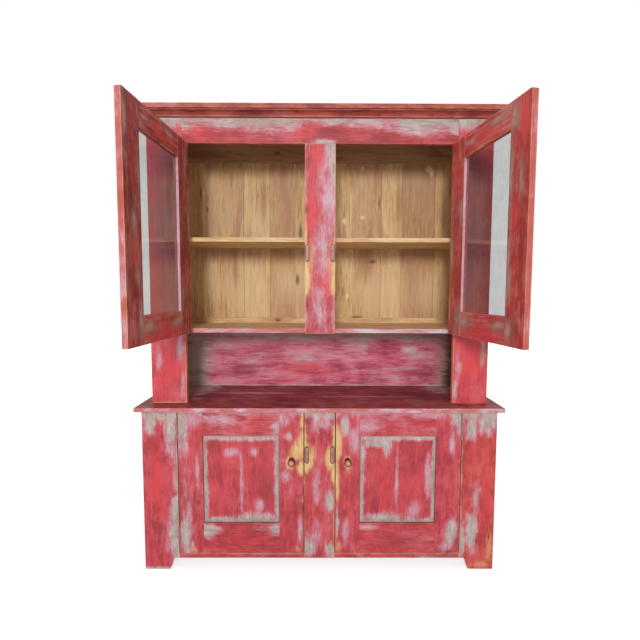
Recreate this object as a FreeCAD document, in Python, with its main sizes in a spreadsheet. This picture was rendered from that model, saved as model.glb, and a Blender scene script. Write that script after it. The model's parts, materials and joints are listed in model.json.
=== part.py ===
import FreeCAD, Part
import Sketcher
import os
import re

# Painted kitchen buffet: a closed cupboard below, a counter, an open niche and a glazed cupboard above.
# Millimetres, +Z up, +Y towards the wall. The origin is on the floor, at the middle of the back.
# The upper doors stand open and the lower doors are shut. The turn buttons hang clear of the doors.

SIZES = {
    # Lower case and counter
    "lower_width": 1550.0,
    "lower_depth": 435.0,
    "counter_height": 735.0,
    "counter_thickness": 19.0,
    "counter_front_overhang": 17.0,
    "counter_side_overhang": 27.0,
    "foot_height": 51.0,
    "foot_width": 110.0,
    "foot_slope": 16.0,
    "foot_corner_radius": 9.0,
    "lower_outer_stile": 152.0,
    "lower_shelf_height": 384.0,
    # Upper case
    "upper_side_step": 22.0,
    "upper_depth": 365.0,
    "upper_outer_stile": 156.0,
    "upper_floor_height": 1050.0,
    "upper_shelf_height": 1458.0,
    "case_top_rail": 127.0,
    "case_top": 2001.0,
    # Crown
    "cap_thickness": 19.0,
    "cap_overhang": 56.0,
    "cove_height": 20.0,
    "cove_projection": 46.0,
    "cove_lip_depth": 14.0,
    "cove_lip_height": 4.0,
    "cove_radius": 34.0,
    # Boards shared by both cases
    "frame_thickness": 22.0,
    "side_thickness": 20.0,
    "floor_thickness": 20.0,
    "shelf_thickness": 19.0,
    "upper_shelf_setback": 14.0,
    "back_thickness": 12.0,
    "back_board_gap": 1.0,
    "niche_thickness": 20.0,
    "centre_stile": 133.0,
    "housing_depth": 7.0,
    "housing_play": 0.3,
    # Rails across the inside of the back
    "back_rail_height": 98.0,
    "back_rail_drop": 11.0,
    "back_rail_thickness": 18.0,
    "back_batten_height": 28.0,
    "back_batten_thickness": 14.0,
    # Doors
    "door_thickness": 21.0,
    "door_recess": 0.5,
    "hinge_gap": 4.6,
    "latch_gap": 4.2,
    "door_top_gap": 3.0,
    "door_bottom_gap": 3.0,
    "door_stile": 106.0,
    "lower_door_top_rail": 106.0,
    "lower_door_bottom_rail": 138.0,
    "upper_door_top_rail": 89.0,
    "upper_door_bottom_rail": 102.0,
    "upper_door_corner_radius": 8.0,
    # Panels of the lower doors
    "groove_depth": 9.0,
    "groove_width": 6.4,
    "panel_tongue": 6.0,
    "panel_play": 1.0,
    "panel_bevel": 21.0,
    "panel_setback": 2.0,
    # Panes of the upper doors
    "rebate_width": 8.0,
    "rebate_depth": 11.0,
    "glass_thickness": 3.0,
    "glass_play": 1.5,
    "bead_setback": 0.5,
    # Knobs
    "knob_radius": 16.0,
    "knob_length": 36.0,
    "knob_crown": 6.0,
    "knob_head_depth": 17.0,
    "knob_neck_radius": 7.0,
    "knob_base_radius": 14.0,
    "knob_base_thickness": 4.0,
    "knob_tenon_radius": 6.0,
    "knob_tenon_length": 14.0,
    "knob_edge_distance": 52.0,
    "knob_height": 497.0,
    # Butt hinges
    "hinge_length": 76.0,
    "hinge_inset": 85.0,
    "leaf_depth": 19.0,
    "leaf_thickness": 2.0,
    "barrel_radius": 4.0,
    "barrel_clearance": 0.3,
    "knuckle_play": 0.3,
    "pin_radius": 1.8,
    "pin_overrun": 2.0,
    "running_play": 0.05,
    "hinge_screw_radius": 2.0,
    "hinge_screw_head_radius": 3.6,
    "hinge_screw_length": 18.0,
    "hinge_screw_spacing": 44.0,
    # Turn buttons on the centre stiles
    "button_long_arm": 47.0,
    "button_short_arm": 29.0,
    "button_width": 19.0,
    "button_thickness": 9.0,
    "button_clearance": 0.3,
    "button_pivot_inset": 10.5,
    "button_screw_radius": 2.3,
    "button_screw_head_radius": 5.0,
    "button_screw_head_height": 3.0,
    "button_screw_depth": 15.0,
    "lower_button_height": 533.5,
    "upper_button_height": 1415.5,
    # How far the upper doors stand open, in degrees
    "left_open_angle": 95.0,
    "right_open_angle": 99.0,
}
# How the width inside each case is shared out among its back boards
BACK_BOARD_SHARES = (0.096, 0.134, 0.093, 0.088, 0.104, 0.102, 0.100, 0.074, 0.115, 0.094)
KNUCKLE_COUNT = 5
SIDES = {"left": -1, "right": 1}

doc = FreeCAD.newDocument("kitchen_buffet")
sheet = doc.addObject("Spreadsheet::Sheet", "Sizes")
for row, (alias, value) in enumerate(SIZES.items(), start=1):
    sheet.set(f"A{row}", alias)
    sheet.set(f"B{row}", str(value))
    sheet.setAlias(f"B{row}", alias)
doc.recompute()
sub_parts = []


# Helpers: every length below is a text made of the sheet's names

def linked(text):
    return re.sub(r"\b[a-z][a-z_]*[a-z]\b", lambda m: f"Sizes.{m[0]}" if m[0] in SIZES else m[0], str(text))


def bind(item, name, text):
    item.setExpression(name, linked(text))


def number(text):
    return float(sheet.evalExpression(linked(text)))


def sub_part(name):
    body = doc.addObject("PartDesign::Body", name)
    body.Label = name
    body.AllowCompound = True
    sub_parts.append(body)
    return body


def primitive(body, kind, sizes, place, direction=None):
    item = body.newObject(f"PartDesign::{kind}", f"{body.Name}_{kind}")
    for name, text in sizes.items():
        bind(item, name, text)
    if direction:
        turn = FreeCAD.Rotation(FreeCAD.Vector(0, 0, 1), FreeCAD.Vector(*direction))
        item.Placement = FreeCAD.Placement(FreeCAD.Vector(), turn)
    for axis, text in zip("xyz", place):
        bind(item, f"Placement.Base.{axis}", text)


def box(body, low, size, cut=False):
    kind = "SubtractiveBox" if cut else "AdditiveBox"
    primitive(body, kind, dict(zip(("Length", "Width", "Height"), size)), low)


def rod(body, start, radius, length, direction=(0, 0, 1), cut=False):
    kind = "SubtractiveCylinder" if cut else "AdditiveCylinder"
    primitive(body, kind, {"Radius": radius, "Height": length}, start, direction)


def loose(kind, sizes, place, direction=None):
    """A primitive outside any body, for the small pieces that are gathered in groups."""
    item = doc.addObject(f"Part::{kind}", kind)
    for name, text in sizes.items():
        bind(item, name, text)
    if direction:
        turn = FreeCAD.Rotation(FreeCAD.Vector(0, 0, 1), FreeCAD.Vector(*direction))
        item.Placement = FreeCAD.Placement(FreeCAD.Vector(), turn)
    for axis, text in zip("xyz", place):
        bind(item, f"Placement.Base.{axis}", text)
    return item


def loose_box(low, size):
    return loose("Box", dict(zip(("Length", "Width", "Height"), size)), low)


def loose_rod(start, radius, length, direction=(0, 0, 1)):
    return loose("Cylinder", {"Radius": radius, "Height": length}, start, direction)


def loose_cone(start, radius, end_radius, length, direction):
    return loose("Cone", {"Radius1": radius, "Radius2": end_radius, "Height": length}, start, direction)


def fused(items):
    item = doc.addObject("Part::MultiFuse", "Fused")
    item.Shapes = items
    return item


def without(base, tools):
    item = doc.addObject("Part::Cut", "Bored")
    item.Base = base
    item.Tool = fused(tools)
    return item


def group(name, items):
    """A sub-part of several separate solids."""
    item = doc.addObject("Part::Compound", name)
    item.Label = name
    item.Links = items
    sub_parts.append(item)
    return item


def origin_plane(body, role):
    return next(item for item in body.Origin.OriginFeatures if item.Role == role)


def sketch_on(body, role, offset=("0", "0", "0")):
    sketch = body.newObject("Sketcher::SketchObject", f"{body.Name}_outline")
    sketch.AttachmentSupport = [(origin_plane(body, role), "")]
    sketch.MapMode = "FlatFace"
    for axis, text in zip("xyz", offset):
        bind(sketch, f"AttachmentOffset.Base.{axis}", text)
    return sketch


def outline(sketch, corners, arcs=None):
    """Arcs map the number of a side to its radius and to the side it bulges to, 1 or -1."""
    arcs = arcs or {}
    points = [FreeCAD.Vector(number(across), number(up), 0) for across, up in corners]
    count = len(points)
    starts = []
    for side in range(count):
        start = points[side]
        end = points[(side + 1) % count]
        if side not in arcs:
            sketch.addGeometry(Part.LineSegment(start, end), False)
            starts.append(1)
            continue
        radius, bulge = arcs[side]
        half = end.sub(start) * 0.5
        sagitta = number(radius) - (number(radius) ** 2 - half.Length ** 2) ** 0.5
        across = FreeCAD.Vector(-half.y, half.x, 0).normalize() * (bulge * sagitta)
        ends = (start, end) if bulge < 0 else (end, start)
        sketch.addGeometry(Part.Arc(ends[0], start + half + across, ends[1]), False)
        starts.append(1 if bulge < 0 else 2)
    for side in range(count):
        after = (side + 1) % count
        joint = ("Coincident", side, 3 - starts[side], after, starts[after])
        sketch.addConstraint(Sketcher.Constraint(*joint))
        for kind, text, value in (("DistanceX", corners[side][0], points[side].x),
                                  ("DistanceY", corners[side][1], points[side].y)):
            place = sketch.addConstraint(Sketcher.Constraint(kind, -1, 1, side, starts[side], value))
            bind(sketch, f"Constraints[{place}]", text)
    for side, (radius, _) in arcs.items():
        place = sketch.addConstraint(Sketcher.Constraint("Radius", side, number(radius)))
        bind(sketch, f"Constraints[{place}]", radius)


def pad(body, sketch, length):
    item = body.newObject("PartDesign::Pad", f"{body.Name}_pad")
    item.Profile = sketch
    bind(item, "Length", length)
    return item


def pocket(body, sketch, length):
    doc.recompute()
    before = body.Shape.Volume
    item = body.newObject("PartDesign::Pocket", f"{body.Name}_pocket")
    item.Profile = sketch
    bind(item, "Length", length)
    doc.recompute()
    if body.Shape.Volume >= before:
        raise RuntimeError(f"{item.Name} cuts nothing")


def mirrored_low(side, near, far):
    """The low end of a span that runs from near to far, counted away from the middle on one side."""
    return f"({near})" if side > 0 else f"-({far})"


# Places shared by several boards

LOWER_FRONT = "(-lower_depth)"
UPPER_FRONT = "(-upper_depth)"
UPPER_WIDTH = "(lower_width - 2 * upper_side_step)"
OPENING_TOP = "(case_top - case_top_rail)"
LOWER_INNER = "(lower_width / 2 - side_thickness)"
UPPER_INNER = f"({UPPER_WIDTH} / 2 - side_thickness)"
LOWER_STILE_EDGE = "(lower_width / 2 - lower_outer_stile)"
UPPER_STILE_EDGE = f"({UPPER_WIDTH} / 2 - upper_outer_stile)"
CENTRE_STILE_EDGE = "(centre_stile / 2)"
COUNTER_UNDERSIDE = "(counter_height - counter_thickness)"
LOWER_FLOOR_TOP = "(foot_height + floor_thickness)"
UPPER_FLOOR_TOP = "(upper_floor_height + floor_thickness)"
HOUSED_REACH = "(housing_depth - housing_play)"


# Lower case

def side_board(name, side, inner, front, bottom, top, housings):
    board = sub_part(name)
    low = mirrored_low(side, inner, f"{inner} + side_thickness")
    box(board, (low, f"{front} + frame_thickness", bottom),
        ("side_thickness", f"-{front} - frame_thickness", f"{top} - {bottom}"))
    for height, thickness, shelf_front in housings:
        groove = mirrored_low(side, inner, f"{inner} + housing_depth")
        box(board, (groove, shelf_front, height),
            ("housing_depth", f"-{shelf_front} - back_thickness", thickness), cut=True)


# The lower doors shut against the front edge of their shelf, the upper ones against that of their floor board
LOWER_FLOOR_FRONT = f"({LOWER_FRONT} + frame_thickness)"
LOWER_SHELF_FRONT = LOWER_FLOOR_FRONT
UPPER_FLOOR_FRONT = f"({UPPER_FRONT} + frame_thickness)"
UPPER_SHELF_FRONT = f"({UPPER_FLOOR_FRONT} + upper_shelf_setback)"

for word, side in SIDES.items():
    side_board(f"lower_{word}_side", side, LOWER_INNER, LOWER_FRONT, "0", COUNTER_UNDERSIDE,
               [("foot_height", "floor_thickness", LOWER_FLOOR_FRONT),
                ("lower_shelf_height", "shelf_thickness", LOWER_SHELF_FRONT)])
    side_board(f"upper_{word}_side", side, UPPER_INNER, UPPER_FRONT, "counter_height", "case_top",
               [("upper_floor_height", "floor_thickness", UPPER_FLOOR_FRONT),
                ("upper_shelf_height", "shelf_thickness", UPPER_SHELF_FRONT)])


def hinge_heights(bottom, top):
    return f"({bottom} + hinge_inset)", f"({top} - hinge_inset)"


def screw_places(centre):
    return f"{centre} - hinge_screw_spacing / 2", f"{centre} + hinge_screw_spacing / 2"


def screw_heights(bottom, top):
    return [height for centre in hinge_heights(bottom, top) for height in screw_places(centre)]


LOWER_DOOR = (f"({LOWER_FLOOR_TOP} + door_bottom_gap)", f"({COUNTER_UNDERSIDE} - door_top_gap)")
UPPER_DOOR = ("(upper_floor_height + door_bottom_gap)", f"({OPENING_TOP} - door_top_gap)")
SCREW_SETBACK = "(leaf_depth / 2)"


def pilot_holes(body, edge, depth_place, heights, inward):
    """Holes for hinge screws, bored into an upright edge along X."""
    for height in heights:
        rod(body, (edge, depth_place, height), "hinge_screw_radius + running_play", "hinge_screw_length",
            (inward, 0, 0), cut=True)


def button_pilot(stile, front, height):
    for side in SIDES.values():
        across = f"{side} * (centre_stile / 2 - button_pivot_inset)"
        rod(stile, (across, front, height), "button_screw_radius + running_play", "button_screw_depth",
            (0, 1, 0), cut=True)


def lower_outer_stile(word, side):
    stile = sub_part(f"lower_{word}_stile")
    outer = f"{side} * lower_width / 2"
    corners = [
        (outer, "0"),
        (f"{outer} - {side} * foot_width", "0"),
        (f"{outer} - {side} * (foot_width + foot_slope)", "foot_height"),
        (f"{side} * {LOWER_STILE_EDGE}", "foot_height"),
        (f"{side} * {LOWER_STILE_EDGE}", COUNTER_UNDERSIDE),
        (outer, COUNTER_UNDERSIDE),
    ]
    sketch = sketch_on(stile, "XZ_Plane", ("0", "0", "lower_depth - frame_thickness"))
    outline(sketch, corners)
    block = pad(stile, sketch, "frame_thickness")
    doc.recompute()
    corner_x = number(f"{outer} - {side} * (foot_width + foot_slope)")
    edges = [
        f"Edge{place}" for place, edge in enumerate(block.Shape.Edges, start=1)
        if abs(edge.BoundBox.XMin - corner_x) + edge.BoundBox.XLength < number("foot_corner_radius") / 10
        and edge.BoundBox.YLength > number("frame_thickness") / 2
        and abs(edge.BoundBox.ZMin - number("foot_height")) < number("foot_corner_radius") / 10
    ]
    rounding = stile.newObject("PartDesign::Fillet", f"{stile.Name}_rounding")
    rounding.Base = (block, edges)
    bind(rounding, "Radius", "foot_corner_radius")
    pilot_holes(stile, f"{side} * {LOWER_STILE_EDGE}", f"{LOWER_FRONT} + {SCREW_SETBACK}",
                screw_heights(*LOWER_DOOR), side)


def upper_outer_stile(word, side):
    stile = sub_part(f"upper_{word}_stile")
    box(stile, (mirrored_low(side, UPPER_STILE_EDGE, f"{UPPER_WIDTH} / 2"), UPPER_FRONT, "counter_height"),
        ("upper_outer_stile", "frame_thickness", "case_top - counter_height"))
    pilot_holes(stile, f"{side} * {UPPER_STILE_EDGE}", f"{UPPER_FRONT} + {SCREW_SETBACK}",
                screw_heights(*UPPER_DOOR), side)


for word, side in SIDES.items():
    lower_outer_stile(word, side)
    upper_outer_stile(word, side)

lower_centre_stile = sub_part("lower_centre_stile")
box(lower_centre_stile, ("-centre_stile / 2", LOWER_FRONT, "foot_height"),
    ("centre_stile", "frame_thickness", f"{COUNTER_UNDERSIDE} - foot_height"))
button_pilot(lower_centre_stile, LOWER_FRONT, "lower_button_height")

upper_centre_stile = sub_part("upper_centre_stile")
box(upper_centre_stile, ("-centre_stile / 2", UPPER_FRONT, "upper_floor_height"),
    ("centre_stile", "frame_thickness", f"{OPENING_TOP} - upper_floor_height"))
button_pilot(upper_centre_stile, UPPER_FRONT, "upper_button_height")


def housed_board(name, inner, front, bottom, thickness):
    board = sub_part(name)
    box(board, (f"-{inner} - {HOUSED_REACH}", front, bottom),
        (f"2 * ({inner} + {HOUSED_REACH})", f"-{front} - back_thickness", thickness))
    return board


lower_floor = housed_board("lower_floor_board", LOWER_INNER, LOWER_FLOOR_FRONT,
                           "foot_height", "floor_thickness")
for side in SIDES.values():
    low = mirrored_low(side, CENTRE_STILE_EDGE, LOWER_STILE_EDGE)
    box(lower_floor, (low, LOWER_FRONT, "foot_height"),
        (f"{LOWER_STILE_EDGE} - {CENTRE_STILE_EDGE}", "frame_thickness", "floor_thickness"))
housed_board("lower_shelf", LOWER_INNER, LOWER_SHELF_FRONT, "lower_shelf_height", "shelf_thickness")
housed_board("upper_floor_board", UPPER_INNER, UPPER_FLOOR_FRONT, "upper_floor_height", "floor_thickness")
housed_board("upper_shelf", UPPER_INNER, UPPER_SHELF_FRONT, "upper_shelf_height", "shelf_thickness")


def back_boards(name, inner, bottom, top):
    boards = sub_part(name)
    for place, share in enumerate(BACK_BOARD_SHARES):
        passed_share = sum(BACK_BOARD_SHARES[:place])
        start = f"{passed_share:.3f} * 2 * {inner} - {inner} + back_board_gap / 2"
        box(boards, (start, "-back_thickness", bottom),
            (f"{share} * 2 * {inner} - back_board_gap", "back_thickness", f"{top} - {bottom}"))


back_boards("lower_back_boards", LOWER_INNER, "0", COUNTER_UNDERSIDE)
back_boards("upper_back_boards", UPPER_INNER, "upper_floor_height", "case_top")


counter = sub_part("counter_top")
box(counter, ("-lower_width / 2 - counter_side_overhang", f"{LOWER_FRONT} - counter_front_overhang",
              COUNTER_UNDERSIDE),
    ("lower_width + 2 * counter_side_overhang", "lower_depth + counter_front_overhang", "counter_thickness"))

niche_board = sub_part("niche_back_board")
box(niche_board, (f"-{UPPER_INNER}", "-niche_thickness", "counter_height"),
    (f"2 * {UPPER_INNER}", "niche_thickness", "upper_floor_height - counter_height"))


# Top of the upper case

top_rail = sub_part("upper_top_rail")
box(top_rail, (f"-{UPPER_STILE_EDGE}", UPPER_FRONT, OPENING_TOP),
    (f"2 * {UPPER_STILE_EDGE}", "frame_thickness", "case_top_rail"))

back_rail = sub_part("back_rail")
box(back_rail, (f"-{UPPER_INNER}", "-back_thickness - back_rail_thickness",
                "case_top - back_rail_drop - back_rail_height"),
    (f"2 * {UPPER_INNER}", "back_rail_thickness", "back_rail_height"))

back_batten = sub_part("back_batten")
box(back_batten, (f"-{UPPER_INNER}", "-back_thickness - back_batten_thickness", UPPER_FLOOR_TOP),
    (f"2 * {UPPER_INNER}", "back_batten_thickness", "back_batten_height"))

cap = sub_part("crown_cap")
box(cap, (f"-{UPPER_WIDTH} / 2 - cap_overhang", f"{UPPER_FRONT} - cap_overhang", "case_top"),
    (f"{UPPER_WIDTH} + 2 * cap_overhang", "upper_depth + cap_overhang", "cap_thickness"))


def cove_outline(sketch, turn):
    """The crown's hollow moulding: a lip at the foot, a hollow, and a lip at the head."""
    bottom = "(case_top - cove_height)"
    across = ("0", "cove_lip_depth", "cove_lip_depth", "cove_projection", "cove_projection", "0")
    up = (bottom, bottom, f"{bottom} + cove_lip_height", "case_top - cove_lip_height", "case_top", "case_top")
    outline(sketch, [(f"{turn} * ({a})", b) for a, b in zip(across, up)], {2: ("cove_radius", turn)})


CROWN_REACH = f"({UPPER_WIDTH} / 2 + cove_projection)"

crown_front = sub_part("crown_front")
profile = sketch_on(crown_front, "YZ_Plane", (UPPER_FRONT, "0", f"-{CROWN_REACH}"))
cove_outline(profile, -1)
pad(crown_front, profile, f"2 * {CROWN_REACH}")
for side in SIDES.values():
    mitre = sketch_on(crown_front, "XY_Plane", ("0", "0", "case_top"))
    outline(mitre, [
        (f"{side} * {CROWN_REACH}", f"{UPPER_FRONT} - cove_projection"),
        (f"{side} * {CROWN_REACH}", UPPER_FRONT),
        (f"{side} * {UPPER_WIDTH} / 2", UPPER_FRONT),
    ])
    pocket(crown_front, mitre, "cove_height")

for word, side in SIDES.items():
    crown_return = sub_part(f"crown_{word}_return")
    profile = sketch_on(crown_return, "XZ_Plane", (f"{side} * {UPPER_WIDTH} / 2", "0", "0"))
    cove_outline(profile, side)
    pad(crown_return, profile, "upper_depth + cove_projection")
    mitre = sketch_on(crown_return, "XY_Plane", ("0", "0", "case_top"))
    outline(mitre, [
        (f"{side} * {UPPER_WIDTH} / 2", f"{UPPER_FRONT} - cove_projection"),
        (f"{side} * {CROWN_REACH}", f"{UPPER_FRONT} - cove_projection"),
        (f"{side} * {UPPER_WIDTH} / 2", UPPER_FRONT),
    ])
    pocket(crown_return, mitre, "cove_height")


# Doors: each is laid out about its own hinge axis, shut, and then turned to where it stands
# Along runs from the axis towards the latch edge; into runs from the axis towards the wall.

DOOR_FACE = "(barrel_radius + barrel_clearance + door_recess)"
DOOR_BACK = f"({DOOR_FACE} + door_thickness)"
NEAR_EDGE = "(hinge_gap / 2)"


class Door:
    def __init__(self, level, word, side):
        upper = level == "upper"
        self.name = f"{level}_{word}_door"
        self.side = side
        self.turn = -side
        self.bottom, self.top = UPPER_DOOR if upper else LOWER_DOOR
        stile_edge = UPPER_STILE_EDGE if upper else LOWER_STILE_EDGE
        self.front = UPPER_FRONT if upper else LOWER_FRONT
        self.axis_x = f"{side} * ({stile_edge} - hinge_gap / 2)"
        self.axis_y = f"{self.front} - barrel_radius - barrel_clearance"
        self.far_edge = f"({stile_edge} - {CENTRE_STILE_EDGE} - latch_gap - hinge_gap / 2)"
        self.top_rail = f"{level}_door_top_rail"
        self.bottom_rail = f"{level}_door_bottom_rail"
        self.angle = f"{side} * {word}_open_angle" if upper else None

    def stand(self, item):
        """Turn a sub-part about the hinge axis to where the door stands."""
        if self.angle:
            turn = FreeCAD.Rotation(FreeCAD.Vector(0, 0, 1), number(self.angle))
            item.Placement = FreeCAD.Placement(FreeCAD.Vector(), turn)
            bind(item, "Placement.Rotation.Angle", self.angle)
        bind(item, "Placement.Base.x", self.axis_x)
        bind(item, "Placement.Base.y", self.axis_y)

    def piece(self, suffix):
        body = sub_part(f"{self.name}_{suffix}")
        self.stand(body)
        return body

    def low(self, near, far):
        return f"({near})" if self.turn > 0 else f"-({far})"

    def span(self, along, into, up):
        """The low corner and the size of a box given by its ends along the door, into it and up."""
        low = (self.low(*along), into[0], up[0])
        return low, tuple(f"({far}) - ({near})" for near, far in (along, into, up))

    def block(self, body, along, into, up, cut=False):
        box(body, *self.span(along, into, up), cut)


def door_frame(door, slot_into, slot_depth):
    """Stiles and rails, with the groove or rebate that holds the panel or the pane."""
    into = (DOOR_FACE, DOOR_BACK)
    inner_near = f"({NEAR_EDGE} + door_stile)"
    inner_far = f"({door.far_edge} - door_stile)"
    inner_low = f"({door.bottom} + {door.bottom_rail})"
    inner_high = f"({door.top} - {door.top_rail})"
    stiles = door.piece("stiles")
    door.block(stiles, (NEAR_EDGE, inner_near), into, (door.bottom, door.top))
    door.block(stiles, (inner_far, door.far_edge), into, (door.bottom, door.top))
    slot_up = (f"{inner_low} - {slot_depth}", f"{inner_high} + {slot_depth}")
    door.block(stiles, (f"{inner_near} - {slot_depth}", inner_near), slot_into, slot_up, cut=True)
    door.block(stiles, (inner_far, f"{inner_far} + {slot_depth}"), slot_into, slot_up, cut=True)
    pilot_holes(stiles, f"{door.turn} * {NEAR_EDGE}", f"barrel_radius + barrel_clearance + {SCREW_SETBACK}",
                screw_heights(door.bottom, door.top), door.turn)
    rails = {"top_rail": (inner_high, door.top), "bottom_rail": (door.bottom, inner_low)}
    for word, up in rails.items():
        rail = door.piece(word)
        door.block(rail, (inner_near, inner_far), into, up)
        edge = (inner_high, f"{inner_high} + {slot_depth}") if word == "top_rail" else (
            f"{inner_low} - {slot_depth}", inner_low)
        door.block(rail, (inner_near, inner_far), slot_into, edge, cut=True)
    return stiles, (inner_near, inner_far), (inner_low, inner_high)


def round_top_corner(door, stiles):
    """Round the top of an upper door's latch edge."""
    along = (f"{door.far_edge} - upper_door_corner_radius", door.far_edge)
    up = (f"{door.top} - upper_door_corner_radius", door.top)
    door.block(stiles, along, (DOOR_FACE, DOOR_BACK), up, cut=True)
    rod(stiles, (f"{door.turn} * ({along[0]})", DOOR_FACE, up[0]), "upper_door_corner_radius",
        "door_thickness", (0, 1, 0))


def panel(door, along, up):
    board = door.piece("panel")
    reach = "(groove_depth - panel_play)"
    middle = f"({DOOR_FACE} + door_thickness / 2)"
    tongue = (f"{middle} - panel_tongue / 2", f"{middle} + panel_tongue / 2")
    door.block(board, (f"{along[0]} - {reach}", f"{along[1]} + {reach}"), tongue,
               (f"{up[0]} - {reach}", f"{up[1]} + {reach}"))
    primitive(board, "AdditiveWedge", {
        "Xmin": f"{door.low(*along)} + panel_bevel",
        "Xmax": f"{door.low(*along)} + ({along[1]}) - ({along[0]}) - panel_bevel",
        "X2min": f"{door.low(*along)} + panel_play",
        "X2max": f"{door.low(*along)} + ({along[1]}) - ({along[0]}) - panel_play",
        "Ymin": f"{DOOR_FACE} + panel_setback",
        "Ymax": f"{middle} - panel_tongue / 2",
        "Zmin": f"{up[0]} + panel_bevel",
        "Zmax": f"{up[1]} - panel_bevel",
        "Z2min": f"{up[0]} + panel_play",
        "Z2max": f"{up[1]} - panel_play",
    }, ("0", "0", "0"))


def pane(door, along, up):
    glass = door.piece("glass")
    reach = "(rebate_width - glass_play)"
    glass_back = f"({DOOR_FACE} + rebate_depth)"
    door.block(glass, (f"{along[0]} - {reach}", f"{along[1]} + {reach}"),
               (f"{glass_back} - glass_thickness", glass_back), (f"{up[0]} - {reach}", f"{up[1]} + {reach}"))
    whole = (f"{along[0]} - rebate_width", f"{along[1]} + rebate_width")
    into = (f"{DOOR_FACE} + bead_setback", f"{glass_back} - glass_thickness")
    beads = (
        (whole, (f"{up[0]} - rebate_width", up[0])),
        (whole, (up[1], f"{up[1]} + rebate_width")),
        ((f"{along[0]} - rebate_width", along[0]), up),
        ((along[1], f"{along[1]} + rebate_width"), up),
    )
    strips = [loose_box(*door.span(bead_along, into, bead_up)) for bead_along, bead_up in beads]
    door.stand(group(f"{door.name}_beads", strips))


def knob(door, stiles):
    """A turned knob: tenon, foot, waist and a domed head."""
    along = f"{door.turn} * ({door.far_edge} - knob_edge_distance)"
    handle = door.piece("knob")
    sketch = sketch_on(handle, "XY_Plane", (along, DOOR_FACE, "knob_height"))
    shoulder = "(knob_length - knob_crown)"
    outline(sketch, [
        ("0", "knob_tenon_length"),
        ("knob_tenon_radius", "knob_tenon_length"),
        ("knob_tenon_radius", "0"),
        ("knob_base_radius", "0"),
        ("knob_base_radius", "-knob_base_thickness"),
        ("knob_neck_radius", "-knob_base_thickness"),
        ("knob_neck_radius", "-knob_head_depth"),
        ("knob_radius", f"-{shoulder}"),
        ("0", "-knob_length"),
    ], {7: ("knob_radius * knob_radius / knob_crown / 2 + knob_crown / 2", 1)})
    turned = handle.newObject("PartDesign::Revolution", f"{handle.Name}_turned")
    turned.Profile = sketch
    turned.ReferenceAxis = (sketch, ["V_Axis"])
    rod(stiles, (along, DOOR_FACE, "knob_height"), "knob_tenon_radius + running_play",
        "knob_tenon_length + running_play", (0, 1, 0), cut=True)


def knuckle_rows(centre, wanted):
    """The low ends of the knuckles whose number leaves the wanted remainder by two."""
    pitch = f"hinge_length / {KNUCKLE_COUNT}"
    for place in range(wanted, KNUCKLE_COUNT, 2):
        yield f"({centre} - hinge_length / 2 + {place} * {pitch} + knuckle_play / 2)"


KNUCKLE_LENGTH = f"(hinge_length / {KNUCKLE_COUNT} - knuckle_play)"


def hinge_leaf(axis, direction, centre, wanted):
    """One leaf with its knuckles; direction is 1 where the leaf lies on the +X side of the axis."""
    axis_x, axis_y = axis
    face = f"{axis_y} + barrel_radius + barrel_clearance"
    near = "(hinge_gap / 2 - leaf_thickness)"
    low = f"{axis_x} + {near}" if direction > 0 else f"{axis_x} - {near} - leaf_thickness"
    solids = [loose_box((low, face, f"{centre} - hinge_length / 2"),
                        ("leaf_thickness", "leaf_depth", "hinge_length"))]
    for row in knuckle_rows(centre, wanted):
        tab = ("leaf_thickness", "barrel_radius + barrel_clearance", KNUCKLE_LENGTH)
        solids.append(loose_box((low, axis_y, row), tab))
        solids.append(loose_rod((axis_x, axis_y, row), "barrel_radius", KNUCKLE_LENGTH))
    bores = [loose_rod((axis_x, axis_y, f"{centre} - hinge_length / 2"), "pin_radius + running_play",
                       "hinge_length")]
    for height in screw_places(centre):
        start = (f"{axis_x} + {direction} * {near}", f"{face} + {SCREW_SETBACK}", height)
        bores.append(loose_cone(start, "hinge_screw_head_radius + running_play",
                                "hinge_screw_radius + running_play", "leaf_thickness", (direction, 0, 0)))
    return without(fused(solids), bores)


def hinge_screws(axis, direction, centre):
    axis_x, axis_y = axis
    into = f"{axis_y} + barrel_radius + barrel_clearance + {SCREW_SETBACK}"
    start = f"{axis_x} + {direction} * (hinge_gap / 2 - leaf_thickness)"
    for height in screw_places(centre):
        head = loose_cone((start, into, height), "hinge_screw_head_radius", "hinge_screw_radius",
                          "leaf_thickness", (direction, 0, 0))
        shank = loose_rod((f"{start} + {direction} * leaf_thickness", into, height), "hinge_screw_radius",
                          "hinge_screw_length - leaf_thickness", (direction, 0, 0))
        yield fused([head, shank])


def hinge_pin(axis, centre):
    return loose_rod((*axis, f"{centre} - hinge_length / 2 - pin_overrun"), "pin_radius",
                     "hinge_length + 2 * pin_overrun")


doors = [Door(level, word, side) for level in ("lower", "upper") for word, side in SIDES.items()]
for door in doors:
    if door.name.startswith("upper"):
        rebate = (DOOR_FACE, f"{DOOR_FACE} + rebate_depth")
        door_stiles, opening_along, opening_up = door_frame(door, rebate, "rebate_width")
        round_top_corner(door, door_stiles)
        pane(door, opening_along, opening_up)
    else:
        middle = f"({DOOR_FACE} + door_thickness / 2)"
        groove = (f"{middle} - groove_width / 2", f"{middle} + groove_width / 2")
        door_stiles, opening_along, opening_up = door_frame(door, groove, "groove_depth")
        panel(door, opening_along, opening_up)
        knob(door, door_stiles)
    hardware = []
    for hinge_centre in hinge_heights(door.bottom, door.top):
        hardware.append(hinge_leaf(("0", "0"), door.turn, hinge_centre, 1))
        hardware.append(hinge_pin(("0", "0"), hinge_centre))
        hardware.extend(hinge_screws(("0", "0"), door.turn, hinge_centre))
    door.stand(group(f"{door.name}_hinges", hardware))

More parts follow.
